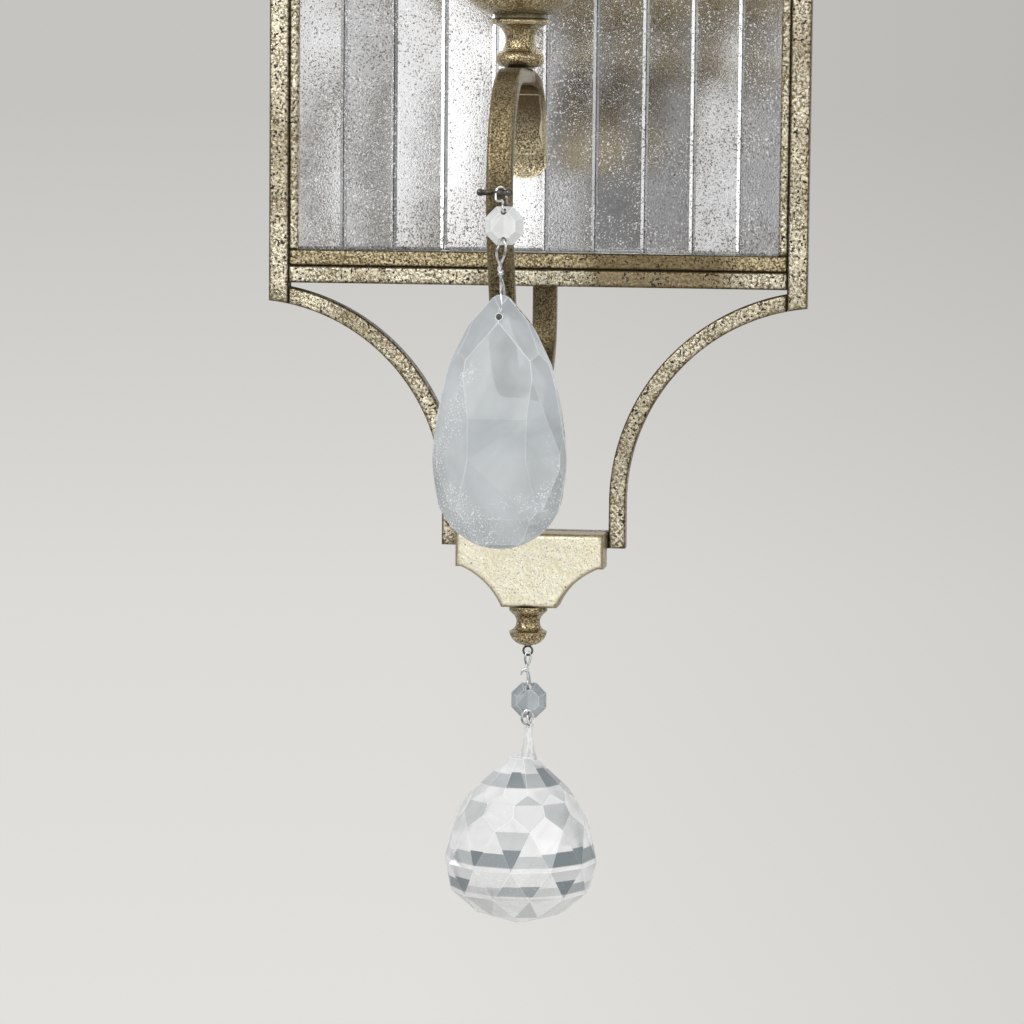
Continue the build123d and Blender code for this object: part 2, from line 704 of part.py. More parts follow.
def glass_line(inset):
    """Half section of the flame-shaped glass, moved in by its wall."""
    low = up(glass_level)
    return Spline((glass_neck_radius - inset, low + inset),
                  (glass_shoulder_radius - inset, low + glass_shoulder_rise),
                  (glass_radius - inset, low + glass_belly_rise),
                  (glass_taper_radius - inset, low + glass_taper_rise),
                  (glass_tip_radius - inset / 2, low + glass_length - inset),
                  tangents=((0.4, 1), (-0.1, 1)))


glass_out = glass_line(0)
glass_in = glass_line(glass_wall)
out_high = (glass_out @ 1).Y
in_low = (glass_in @ 0).Y
in_high = (glass_in @ 1).Y
glass_face = make_face([
    glass_out, glass_in, Line((0, up(glass_level)), glass_out @ 0), Line(glass_out @ 1, (0, out_high)),
    Line((0, out_high), (0, in_high)), Line((0, in_high), glass_in @ 1), Line(glass_in @ 0, (0, in_low)),
    Line((0, in_low), (0, up(glass_level)))])
save("lamp_glass", Pos(0, candle_y, 0) * revolve(Plane.XZ * glass_face, Axis.Z))
stem_low = up(glass_level) + glass_wall
stem_middle = stem_low + stem_height / 2
filament_top = stem_low + filament_rise
stem = Pos(0, candle_y, stem_middle) * Cone(stem_radius, stem_radius / 2, stem_height)
filament_path = FilletPolyline((-filament_foot_width / 2, candle_y, stem_middle),
                               (-filament_width / 2, candle_y, filament_top),
                               (filament_width / 2, candle_y, filament_top),
                               (filament_foot_width / 2, candle_y, stem_middle), radius=filament_bend)
filament = wire_along(filament_path, filament_wire)
save("lamp_filament", stem + filament)

# Leads: from the connectors in the pan, down into the arm, through it and up the riser
leads = []
connectors = []
for side in (1, -1):
    lead_x = side * lead_spacing / 2
    spread_x = side * lead_spread
    route = [(spread_x, -lead_back, up(lead_end_level)), (spread_x, -lead_back, up(lead_spread_level)),
             (lead_x, -lead_back, up(lead_kink_level)), (lead_x, arm_y, up(arm_top_level))]
    route += [(lead_x, corner[1], corner[2]) for corner in arm_corners[1:-1]]
    route += [(lead_x, candle_y, up(arm_crown_level)), (lead_x, candle_y, up(holder_top - holder_depth))]
    kinks = len(route) - len(arm_corners) - 1
    radii = [lead_kink_radius] * kinks + arm_radii + [lead_turn_radius]
    leads.append(wire_along(FilletPolyline(*route, radius=radii), lead_radius))
    taper = Cone(connector_radius, connector_tip_radius, connector_length)
    connectors.append(Pos(spread_x, -lead_back, up(lead_end_level) + connector_length / 2) * taper)
save("lamp_leads", Compound(children=leads))
save("wire_connectors", Compound(children=connectors))

# Ground lead: from the bracket's ground screw to the right-hand screw of the clamp
ground_y = -bracket_thickness - ground_head_height - ground_lead_radius
clamp_y = strap_back - saddle_sheet - saddle_head_height - ground_lead_radius
ground_x = ground_screw_x + ground_bow
ground_path = FilletPolyline(
    (ground_screw_x, ground_y, ground_head_radius), (ground_screw_x, ground_y, -bracket_height),
    (ground_x, ground_y, up(lead_spread_level)),
    (ground_screw_x, ground_y - ground_lift, up(lead_kink_level)),
    (saddle_screw_spacing / 2, clamp_y, block_mid + 2 * saddle_head_radius),
    (saddle_screw_spacing / 2, clamp_y, block_mid - saddle_screw_radius), radius=ground_bends)
save("ground_lead", wire_along(ground_path, ground_lead_radius))


def bead(x, y, level):
    """An octagon bead that faces forward, with a hole near its top and its bottom edge."""
    middle = Vector(x, y, up(level))
    body = Pos(middle) * Box(2 * bead_radius, 2 * bead_half_depth, 2 * bead_radius)
    flat = bead_radius * math.cos(math.pi / 8)
    slope = (flat - bead_table_radius) / (bead_half_depth - bead_girdle)
    planes = []
    for number in range(8):
        turn = number * math.pi / 4
        around = Vector(math.cos(turn), 0, math.sin(turn))
        edge = middle + around * flat
        planes.append((around, edge))
        for side in (1, -1):
            planes.append((around + Vector(0, side * slope, 0), edge + Vector(0, side * bead_girdle, 0)))
    body = cut_facets(body, planes)
    for hole in (bead_hole_offset, -bead_hole_offset):
        body -= cylinder_y(x, up(level) + hole, bead_hole_radius, y - through, y + through)
    return body


def barrel(x, y, level):
    """The few tight turns that close a wire loop."""
    return cylinder_z(x, y, barrel_radius, up(level) - barrel_length / 2, up(level) + barrel_length / 2)


# Pendant on the arm: link, bead, wire and almond
barrel_end = (up(almond_barrel_level), closed_half, closed_bend)
arm_link = loop(arm_link_x, hook_y, (up(arm_bead_level + bead_hole_offset), loop_half_width, loop_bend),
                (up(hook_level) + hook_loop, hook_loop, turn_share * hook_loop))
save("arm_link", arm_link)
save("arm_bead", bead(arm_bead_x, hook_y, arm_bead_level))
almond_wire = loop(almond_wire_x, hook_y, barrel_end,
                   (up(arm_bead_level - bead_hole_offset), loop_half_width, loop_bend))
almond_wire += barrel(almond_wire_x, hook_y, almond_barrel_level)
almond_end = (up(almond_hole_level), almond_loop_half_width, almond_loop_bend)
almond_wire += loop(almond_wire_x, hook_y, almond_end, barrel_end)
save("almond_wire", almond_wire)

almond_z = up(almond_low_level)
circles = [Pos(almond_x, almond_z + height) * Circle(radius) for height, radius in almond_circles]
almond_face = make_hull([circle.edge() for circle in circles])
almond = extrude(Plane.XZ.offset(-hook_y - almond_half_depth) * almond_face, amount=2 * almond_half_depth)
almond_centre = Vector(almond_x, hook_y, almond_z + almond_middle)


def almond_plane(turn, tilt):
    """Plane that touches a smooth almond whose depth is half an ellipse, at one direction."""
    across = math.cos(tilt) * math.sin(turn)
    ahead = -math.cos(tilt) * math.cos(turn)
    above = math.sin(tilt)
    spans = [(height - almond_middle) * above + radius * math.hypot(across, above)
             for height, radius in almond_circles]
    distance = math.hypot(max(spans), almond_half_depth * ahead)
    normal = Vector(across, ahead, above)
    return (normal, almond_centre + normal * distance)


facets = []
for turn, tilt in almond_facets:
    for sign in ((1, -1) if turn else (1,)):
        for back in (0, 180):
            facets.append(almond_plane(math.radians(back + sign * turn), math.radians(tilt)))
almond = cut_facets(almond, facets)
almond -= cylinder_y(almond_x, up(almond_hole_level), bead_hole_radius, hook_y - through, hook_y + through)
save("almond_crystal", almond)

# Pendant on the foot: eye, link, bead, wire and ball
foot_y = -plate_y
eye = Pos(foot_offset, foot_y, up(foot_eye_level)) * Rot(90, 0, 0) * Torus(eye_radius, eye_wire)
eye += cylinder_z(foot_offset, foot_y, eye_wire, up(foot_eye_level) + eye_radius, finial_low + eye_shank)
save("foot_eye", eye)
foot_link = loop(foot_link_x, foot_y, (up(foot_bead_level + bead_hole_offset), loop_half_width, loop_bend),
                 (up(foot_hinge_level) + eye_loop, eye_loop, turn_share * eye_loop))
save("foot_link", foot_link)
save("foot_bead", bead(foot_bead_x, foot_y, foot_bead_level))
ball_wire = loop(foot_bead_x, foot_y, (up(boss_level), ball_loop_half_width, ball_loop_bend),
                 (up(foot_bead_level - bead_hole_offset), loop_half_width, loop_bend))
save("ball_wire", ball_wire)


def side(ring):
    """The middle of a ring's side, as (height, distance from the axis)."""
    return (ring[0], ring[1] * math.cos(math.pi / ball_sides))


def facet_row(share, low, high):
    """A row of the ball's facets, through two points (height, distance), turned by a share of a side."""
    row = []
    for number in range(ball_sides):
        turn = 2 * math.pi * (number + share) / ball_sides
        around = Vector(math.sin(turn), -math.cos(turn), 0)
        normal = around * (high[0] - low[0]) + Vector(0, 0, low[1] - high[1])
        row.append((normal, Vector(ball_x, foot_y, ball_z + low[0]) + around * low[1]))
    return row


ball_height = ball_neck[0] - ball_cut
ball_z = up(boss_level - boss_foot_drop) + boss_sink - ball_height
ball_block = 2 * ball_girdle[1]
ball = Pos(ball_x, foot_y, ball_z + ball_height / 2) * Box(ball_block, ball_block, ball_height)
ball_planes = facet_row(0.5, ball_tip, side(ball_foot))
ball_planes += facet_row(0.5, side(ball_foot), ball_lower)
ball_planes += facet_row(0, ball_foot, side(ball_lower))
ball_planes += facet_row(0, side(ball_lower), ball_girdle)
ball_planes += facet_row(0.5, ball_lower, side(ball_girdle))
ball_planes += facet_row(0.5, side(ball_girdle), ball_upper)
ball_planes += facet_row(0, ball_girdle, side(ball_upper))
ball_planes += facet_row(0.5, ball_upper, side(ball_crown))
ball_planes += facet_row(0.5, side(ball_crown), ball_shoulder)
ball_planes += facet_row(0, ball_crown, ball_neck)
ball = cut_facets(ball, ball_planes)
boss_foot = (boss_foot_radius, up(boss_level - boss_foot_drop))
boss_waist = (boss_waist_radius, up(boss_level - boss_waist_drop))
boss_rise = math.sqrt(boss_radius ** 2 - boss_waist_radius ** 2)
boss_join = (boss_waist_radius, up(boss_level) - boss_rise)
boss_top = (0, up(boss_level) + boss_radius)
boss_side = (boss_radius, up(boss_level))
boss_profile = make_face([
    Line((0, boss_foot[1]), boss_foot), Spline(boss_foot, boss_waist, boss_join),
    ThreePointArc(boss_join, boss_side, boss_top), Line(boss_top, (0, boss_foot[1]))])
ball += Pos(foot_bead_x, foot_y, 0) * revolve(Plane.XZ * boss_profile, Axis.Z)
ball -= cylinder_y(foot_bead_x, up(boss_level), bead_hole_radius, foot_y - through, foot_y + through)
save("ball_crystal", ball)
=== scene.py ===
import bpy
import json
import math
from mathutils import Vector, Matrix

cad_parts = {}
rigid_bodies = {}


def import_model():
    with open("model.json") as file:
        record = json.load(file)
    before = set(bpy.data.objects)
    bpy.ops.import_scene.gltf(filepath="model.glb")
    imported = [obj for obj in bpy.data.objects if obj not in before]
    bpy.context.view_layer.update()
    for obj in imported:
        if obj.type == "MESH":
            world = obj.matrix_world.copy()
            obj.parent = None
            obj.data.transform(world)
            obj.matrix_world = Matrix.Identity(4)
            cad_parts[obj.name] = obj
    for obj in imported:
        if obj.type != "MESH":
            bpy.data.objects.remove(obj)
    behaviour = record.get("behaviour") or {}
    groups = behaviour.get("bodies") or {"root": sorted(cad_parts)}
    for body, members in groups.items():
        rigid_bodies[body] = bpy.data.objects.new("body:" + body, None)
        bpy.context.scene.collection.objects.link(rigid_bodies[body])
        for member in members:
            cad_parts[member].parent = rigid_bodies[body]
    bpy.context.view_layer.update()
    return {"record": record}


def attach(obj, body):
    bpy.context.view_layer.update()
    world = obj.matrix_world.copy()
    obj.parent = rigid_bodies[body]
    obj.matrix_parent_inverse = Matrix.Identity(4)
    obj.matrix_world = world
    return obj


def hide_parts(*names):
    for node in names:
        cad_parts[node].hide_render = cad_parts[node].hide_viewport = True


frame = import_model()


def deselect():
    if bpy.context.object and bpy.context.object.mode != "OBJECT":
        bpy.ops.object.mode_set(mode="OBJECT")
    bpy.ops.object.select_all(action="DESELECT")


# the camera that fits the photograph: metres, degrees, and its lens in millimetres
camera = {
    "aim": (-0.008, -0.040, -0.2025), "distance": 1.5, "turn": 7.5, "rise": 0.1513,
    "roll": 0.57, "lens": 140.8, "sensor": 36, "farClip": 50,
}


def addCamera(values):
    aim = Vector(values["aim"])
    turn = math.radians(values["turn"])
    eye = aim + Vector((math.sin(turn), -math.cos(turn), 0)) * values["distance"]
    eye += Vector((0, 0, values["rise"]))
    deselect()
    bpy.ops.object.camera_add(location=eye)
    obj = bpy.context.object
    obj.name = "studioCamera"
    look = (aim - eye).to_track_quat("-Z", "Y")
    roll = Matrix.Rotation(math.radians(values["roll"]), 3, "Z").to_quaternion()
    obj.rotation_mode = "QUATERNION"
    obj.rotation_quaternion = look @ roll
    obj.data.lens = values["lens"]
    obj.data.sensor_width = values["sensor"]
    obj.data.clip_end = values["farClip"]
    bpy.context.scene.camera = obj


addCamera(camera)
bpy.context.scene.view_settings.view_transform = "Standard"
print("camera set")


class NodeTree:  # a short way to write shader nodes
    def __init__(self, tree):
        self.tree = tree
        tree.nodes.clear()

    def add(self, kind, values=None, **settings):
        node = self.tree.nodes.new("ShaderNode" + kind)
        for name, value in settings.items():
            setattr(node, name, value)
        for name, value in (values or {}).items():
            socket = node.inputs[name]
            if isinstance(value, bpy.types.NodeSocket):
                self.tree.links.new(value, socket)
            else:
                socket.default_value = value
        return node

    def math(self, operation, a, b=0.0, c=0.0, clamp=False):
        return self.add("Math", {0: a, 1: b, 2: c}, operation=operation, use_clamp=clamp).outputs[0]

    def times(self, a, b):
        return self.math("MULTIPLY", a, b)

    def most(self, a, b):
        return self.math("MAXIMUM", a, b)

    def mix(self, share, a, b, blend="MIX"):
        return self.add("Mix", {0: share, 6: a, 7: b}, data_type="RGBA", blend_type=blend).outputs[2]

    def ramp(self, factor, stops, kind="LINEAR"):
        node = self.add("ValToRGB", {0: factor})
        node.color_ramp.interpolation = kind
        while len(node.color_ramp.elements) < len(stops):
            node.color_ramp.elements.new(0.5)
        for element, (place, colour) in zip(node.color_ramp.elements, stops):
            element.position = place
            element.color = colour
        return node.outputs[0]

    def place(self, scale=(1, 1, 1)):
        coords = self.add("TexCoord").outputs["Object"]
        return self.add("Mapping", {"Vector": coords, "Scale": scale}).outputs[0]

    def parts(self, vector):  # its x, y and z
        return self.add("SeparateXYZ", {0: vector}).outputs

    def noise(self, where, scale, detail=2.0, roughness=0.5, distortion=0.0):
        values = {"Vector": where, "Scale": scale, "Detail": detail, "Roughness": roughness,
                  "Distortion": distortion}
        return self.add("TexNoise", values).outputs["Fac"]

    def cells(self, where, scale):
        return self.add("TexVoronoi", {"Vector": where, "Scale": scale}, feature="F1").outputs["Distance"]

    def step(self, value, low, high, start=0.0, end=1.0):
        values = {"Value": value, "From Min": low, "From Max": high, "To Min": start, "To Max": end}
        return self.add("MapRange", values, clamp=True).outputs[0]

    def bump(self, height, depth, strength, normal=None):
        values = {"Height": height, "Distance": depth, "Strength": strength}
        if normal is not None:
            values["Normal"] = normal
        return self.add("Bump", values).outputs[0]

    def rim(self, radius, flatDot=0.998, roundDot=0.93):  # 0 on flat faces, up to 1 along edges
        rounded = self.add("Bevel", {"Radius": radius}).outputs[0]
        flat = self.add("NewGeometry").outputs["Normal"]
        dot = self.add("VectorMath", {0: rounded, 1: flat}, operation="DOT_PRODUCT").outputs["Value"]
        return self.step(dot, flatDot, roundDot)

    def corner(self, distance, openLight=0.95, tightLight=0.35):  # 0 in the open, 1 in a tight corner
        node = self.add("AmbientOcclusion", {"Distance": distance}, samples=8)
        return self.step(node.outputs["AO"], openLight, tightLight)

    def output(self, socket, kind="OutputMaterial"):
        self.tree.links.new(socket, self.add(kind).inputs[0])

    def finish(self, values):
        self.output(self.add("BsdfPrincipled", values).outputs[0])


def newMaterial(name):
    material = bpy.data.materials.new(name)
    material.use_nodes = True
    return material, NodeTree(material.node_tree)


def grey(level):
    return (level, level, level, 1)


def linear(red, green, blue):  # from the 0 to 255 of a screen
    def channel(level):
        return ((level / 255 + 0.055) / 1.055) ** 2.4 if level > 10 else level / 255 / 12.92
    return (channel(red), channel(green), channel(blue), 1)


# the room: pale where the camera looks, with the tones of a real studio in the reflections
studio = {
    "wall": [(0.36, linear(229, 228, 224)), (0.44, linear(220, 219, 215)), (0.5, linear(197, 196, 192))],
    "sideShade": 0.23, "sideSpan": 0.15, "gain": 2.1875, "glassGain": 1.22,
    "tones": [  # azimuth from the front, in degrees to the right, and the tone there
        (-180, 0.45), (-100, 0.4), (-75, 0.26), (-57, 0.15), (-50, 0.27), (-44, 0.58), (-38, 0.25),
        (-30, 0.15), (-22, 0.12), (-13, 0.14), (-7, 0.74), (-2, 1.0), (6, 0.72), (14, 0.58), (20, 0.55),
        (27, 0.33), (33, 0.33), (41, 0.62), (55, 0.36), (70, 0.24), (110, 0.4), (180, 0.45)],
    "heights": [  # from straight down to straight up, and the tone there
        (0.0, 0.3), (0.3, 0.45), (0.44, 0.75), (0.5, 0.8), (0.6, 0.78), (0.8, 0.9), (1.0, 1.0)],
}


def buildWorld(values):
    world = bpy.data.worlds.new("studioWorld")
    bpy.context.scene.world = world
    world.use_nodes = True
    tree = NodeTree(world.node_tree)
    x, y, z = tree.parts(tree.add("TexCoord").outputs["Generated"])
    azimuth = tree.math("ARCTAN2", x, tree.times(y, -1))
    turn = tree.math("MULTIPLY_ADD", azimuth, 1 / (2 * math.pi), 0.5)
    tones = tree.ramp(turn, [((a + 180) / 360, grey(v)) for a, v in values["tones"]], "EASE")
    height = tree.math("MULTIPLY_ADD", z, 0.5, 0.5)
    ceiling = tree.ramp(height, [(h, grey(v)) for h, v in values["heights"]])
    room = tree.mix(1.0, tree.mix(1.0, tones, ceiling, "MULTIPLY"), grey(values["gain"]), "MULTIPLY")
    side = tree.step(x, -values["sideSpan"], values["sideSpan"], 1.0, 1 - values["sideShade"])
    wall = tree.mix(1.0, tree.ramp(height, values["wall"]), side, "MULTIPLY")
    path = tree.add("LightPath")
    through = path.outputs["Is Transmission Ray"]
    lit = tree.mix(through, wall, tree.mix(1.0, wall, grey(values["glassGain"]), "MULTIPLY"))
    pale = tree.most(path.outputs["Is Camera Ray"], through)
    background = tree.add("Background", {"Color": tree.mix(pale, room, lit), "Strength": 1.0})
    tree.output(background.outputs[0], "OutputWorld")


buildWorld(studio)

softboxes = {
    "keySoftbox": {"place": (-1.3, -1.9, 1.1), "aim": (0, -0.05, -0.1), "size": (1.2, 1.2), "power": 30},
    "fillSoftbox": {"place": (1.9, -1.4, 0.4), "aim": (0, -0.05, -0.15), "size": (0.8, 1.6), "power": 10},
}


def addSoftbox(name, values):
    deselect()
    bpy.ops.object.light_add(type="AREA", location=values["place"])
    obj = bpy.context.object
    obj.name = name
    obj.data.shape = "RECTANGLE"
    obj.data.size, obj.data.size_y = values["size"]
    obj.data.energy = values["power"]
    obj.rotation_mode = "QUATERNION"
    obj.rotation_quaternion = (Vector(values["aim"]) - Vector(values["place"])).to_track_quat("-Z", "Y")


for softboxName, softboxValues in softboxes.items():
    addSoftbox(softboxName, softboxValues)

# a pale floor under the hung light, which fades out before its edge
floor = {
    "level": -0.72, "radius": 1.4, "fade": (0.75, 1.372), "colour": linear(226, 225, 221),
    "grainScale": 60, "grainShare": 0.04, "grainTone": 0.6, "roughness": 0.9,
}


def addFloor(values):
    deselect()
    bpy.ops.mesh.primitive_circle_add(vertices=96, radius=values["radius"], fill_type="NGON",
                                      location=(0, 0, values["level"]))
    obj = bpy.context.object
    obj.name = "studioFloor"
    bpy.ops.object.transform_apply(location=True)
    material, tree = newMaterial("paleFloor")
    where = tree.place()
    away = tree.add("VectorMath", {0: where, 1: (1, 1, 0)}, operation="MULTIPLY").outputs[0]
    away = tree.add("VectorMath", {0: away}, operation="LENGTH").outputs["Value"]
    grain = tree.times(tree.noise(where, values["grainScale"], 4), values["grainShare"])
    colour = tree.mix(grain, values["colour"], grey(values["grainTone"]))
    shader = tree.add("BsdfPrincipled", {"Base Color": colour, "Roughness": values["roughness"]})
    clear = tree.add("BsdfTransparent")
    faded = tree.step(away, *values["fade"])
    tree.output(tree.add("MixShader", {0: faded, 1: shader.outputs[0], 2: clear.outputs[0]}).outputs[0])
    obj.data.materials.append(material)


addFloor(floor)
print("studio lit")

# materials, each on object coordinates in metres
# edge: the tone painted along rims and on faces turned from the front, a painted dark reflection on the
# frame, lips and plate, and a painted highlight on the arm, leaf, cup and finial
giltFinishes = {
    "gilt": {
        "name": "giltFrame", "light": (255, 252, 236), "middle": (230, 218, 186), "dark": (122, 106, 75),
        "pit": (46, 36, 21), "edge": (84, 68, 40), "patina": 0.5, "roughness": 0.34, "pits": 0.85,
        "grain": 900, "sides": 1.0, "relief": 0.0004},
    "giltDull": {
        "name": "giltDull", "light": (226, 212, 174), "middle": (170, 154, 119), "dark": (112, 97, 68),
        "pit": (46, 36, 21), "edge": (58, 46, 27), "patina": 0.5, "roughness": 0.4, "pits": 0.75,
        "grain": 1100, "sides": 1.0, "relief": 0.0004},
    # painted shade: giltArm is a darker copy of the gilt, for the arm that faces down and away from the
    # light
    "giltArm": {
        "name": "giltArm", "light": (158, 144, 112), "middle": (112, 99, 74), "dark": (76, 64, 43),
        "pit": (28, 22, 12), "edge": (168, 154, 122), "patina": 0.4, "roughness": 0.34, "pits": 0.55,
        "grain": 1500, "sides": 0.0, "relief": 0.0002},
    # painted light: giltLeaf is a lighter copy of the gilt, where light falls on the hanging leaf;
    # shadeAbove is its painted shadow under the cup
    "giltLeaf": {
        "name": "giltLeaf", "light": (240, 228, 194), "middle": (182, 166, 132), "dark": (92, 78, 53),
        "pit": (36, 28, 16), "edge": (232, 222, 190), "patina": 0.1, "roughness": 0.34, "pits": 0.4,
        "grain": 1600, "sides": 0.0, "relief": 0.00025, "shadeAbove": (-0.066, -0.05)},
    # painted shade: giltCup is a darker copy of the gilt, for the neck and cup that face down and away from
    # the light
    "giltCup": {
        "name": "giltCup", "light": (228, 212, 172), "middle": (146, 130, 98), "dark": (98, 84, 57),
        "pit": (40, 31, 18), "edge": (206, 192, 152), "patina": 0.35, "roughness": 0.13, "pits": 0.4,
        "grain": 1600, "sides": 0.0, "relief": 0.00025},
    "giltFinial": {
        "name": "giltFinial", "light": (226, 208, 168), "middle": (142, 124, 92), "dark": (74, 61, 40),
        "pit": (28, 22, 12), "edge": (190, 174, 138), "patina": 0.4, "roughness": 0.12, "pits": 0.4,
        "grain": 1500, "sides": 0.0, "relief": 0.0002},
    "giltPlate": {
        "name": "giltPlate", "light": (255, 254, 240), "middle": (253, 247, 222), "dark": (236, 226, 192),
        "pit": (84, 70, 44), "edge": (128, 106, 66), "patina": 0.9, "roughness": 0.38, "pits": 0.34,
        "grain": 1300, "sides": 0.9, "relief": 0.00015},
}
giltFinishes["giltLip"] = {**giltFinishes["gilt"], "name": "giltLip", "sides": 0.3, "patina": 0.4}
# marks that every gilt finish has: scales per metre, and the levels that each mark runs between
giltMarks = {
    "cloudScale": 120, "cloudDepth": 0.0011, "patchScale": 26, "fineTimes": 2.2, "speckTimes": 1.15,
    "dentScale": 300, "dentGroupScale": 140, "rimRadius": 0.0011, "cornerReach": 0.004,
    "leafing": (0.42, 0.56), "glints": (0.65, 0.78), "patina": (0.46, 0.66), "specks": (0.4, 0.33),
    "speckCloud": (0.4, 0.55, 0.25, 1.0), "dents": (0.16, 0.1), "dentGroups": (0.52, 0.58),
    "turned": (0.985, 0.75), "edgeRim": (0.05, 0.6), "edgeGrain": (0.3, 0.65, 1.0, 0.7),
    "metal": (0.3, 0.9, 0.92, 0.35),
}
# the rails carry a painted shade on one stretch, right of the middle: metres across, and up or down
railShadeStretch = {"middle": 0.046, "across": (0.036, 0.022), "low": (0.1, 0.106), "high": (0.122, 0.118),
               "share": 0.85}


def railShade(tree, spot):
    level = tree.math("ABSOLUTE", spot[2])
    across = tree.math("ABSOLUTE", tree.math("SUBTRACT", spot[0], railShadeStretch["middle"]))
    # painted shade, full inside the stretch and fading at its ends
    dull = tree.times(tree.step(across, *railShadeStretch["across"]), tree.step(level, *railShadeStretch["low"]))
    return tree.times(dull, tree.step(level, *railShadeStretch["high"]))


def giltPits(tree, where, cloud, values):
    specks = tree.noise(where, values["grain"] * giltMarks["speckTimes"], 1, 0.4)
    specks = tree.times(tree.step(specks, *giltMarks["specks"]), tree.step(cloud, *giltMarks["speckCloud"]))
    dents = tree.step(tree.cells(where, giltMarks["dentScale"]), *giltMarks["dents"])
    groups = tree.step(tree.noise(where, giltMarks["dentGroupScale"], 1), *giltMarks["dentGroups"])
    dents = tree.times(tree.times(dents, groups), 0.8)
    return tree.most(tree.math("MULTIPLY", specks, values["pits"] * 1.5, clamp=True), dents)


def giltMaterial(values):
    material, tree = newMaterial(values["name"])
    tone = {key: linear(*values[key]) for key in ("light", "middle", "dark", "pit", "edge")}
    where = tree.place()
    spot = tree.parts(where)
    grain = tree.noise(where, values["grain"], 3, 0.7)
    fine = tree.noise(where, values["grain"] * giltMarks["fineTimes"], 1, 0.5)
    cloud = tree.noise(where, giltMarks["cloudScale"], 4, 0.65)
    patches = tree.noise(where, giltMarks["patchScale"], 3, 0.5, 0.4)
    leafing = tree.step(tree.math("MULTIPLY_ADD", cloud, 0.4, tree.times(grain, 0.6)), *giltMarks["leafing"])
    colour = tree.mix(leafing, tone["dark"], tone["middle"])
    glints = tree.step(tree.math("ADD", grain, tree.times(fine, 0.35)), *giltMarks["glints"])
    colour = tree.mix(tree.times(glints, 0.9), colour, tone["light"])
    patina = tree.times(tree.step(patches, *giltMarks["patina"]), values["patina"])
    # painted shade: the rails' shaded stretch joins the patina mask
    patina = tree.most(patina, tree.times(railShade(tree, spot), values["sides"] * railShadeStretch["share"]))
    # painted shadow on the leaf's upper part, under the cup
    if "shadeAbove" in values:
        patina = tree.most(patina, tree.step(spot[2], *values["shadeAbove"], 0.0, 0.95))
    # the patina mask now also holds the painted shade of the rails and the leaf's painted shadow
    colour = tree.mix(patina, colour, tone["dark"])
    # painted edge light: rims, and faces turned from the front by the sides share, take the edge tone
    ahead = tree.math("ABSOLUTE", tree.parts(tree.add("NewGeometry").outputs["Normal"])[1])
    turned = tree.times(tree.step(ahead, *giltMarks["turned"]), values["sides"])
    edge = tree.most(tree.step(tree.rim(giltMarks["rimRadius"]), *giltMarks["edgeRim"]), turned)
    colour = tree.mix(tree.times(edge, tree.step(grain, *giltMarks["edgeGrain"])), colour, tone["edge"])
    pits = giltPits(tree, where, cloud, values)
    # painted shade: tight corners darken to the pit tone, joined with the real pits
    pitsAndCornerShade = tree.most(pits, tree.times(tree.corner(giltMarks["cornerReach"]), 0.9))
    colour = tree.mix(pitsAndCornerShade, colour, tone["pit"])
    roughness = tree.step(grain, 0.3, 0.7, values["roughness"] + 0.12, values["roughness"] - 0.1)
    roughness = tree.math("MULTIPLY_ADD", pitsAndCornerShade, 0.3, roughness)
    height = tree.math("MULTIPLY_ADD", pits, -0.7, tree.times(grain, 0.9))
    normal = tree.bump(cloud, giltMarks["cloudDepth"], 0.6, tree.bump(height, values["relief"], 0.8))
    metal = tree.step(pitsAndCornerShade, *giltMarks["metal"])
    tree.finish({"Base Color": colour, "Metallic": metal, "Roughness": roughness, "Normal": normal})
    return material


# aged mirror glass: scales per metre, depths in metres, and the levels that each mark runs between
mirrorGlass = {
    "silver": (246, 247, 248), "fox": (128, 98, 74), "speck": (58, 58, 60), "haze": (228, 226, 224),
    "bloom": (255, 255, 255), "pepperScale": 1350, "driftScale": 32, "patchScale": 75, "spotScale": 150,
    "spotGroupScale": 70, "edgeRadius": 0.0005, "rippleScale": 28, "rippleDepth": 0.0012,
    "pepperDepth": 0.00012, "hazy": (0.3, 0.7), "speckled": (0.38, 0.62), "speckFrom": 0.385,
    "speckSpread": 0.07, "specks": (0.0, -0.05), "glints": (0.57, 0.65),
    "glintPatches": (0.4, 0.55, 0.3, 1.0), "bloomPatches": (0.6, 0.7), "bloomPepper": (0.35, 0.6),
    "spots": (0.1, 0.05), "spotGroups": (0.52, 0.58), "foxedAbove": (-0.1, 0.0),
    "foxedRight": (0.02, 0.09), "foxing": (0.5, 0.12), "rough": (0.35, 0.65, 0.06, 0.17),
    "speckRough": 0.35, "glintGlass": 0.75,
    "shares": {"specks": 0.75, "spots": 0.8, "edges": 0.85, "glints": 0.8},
}


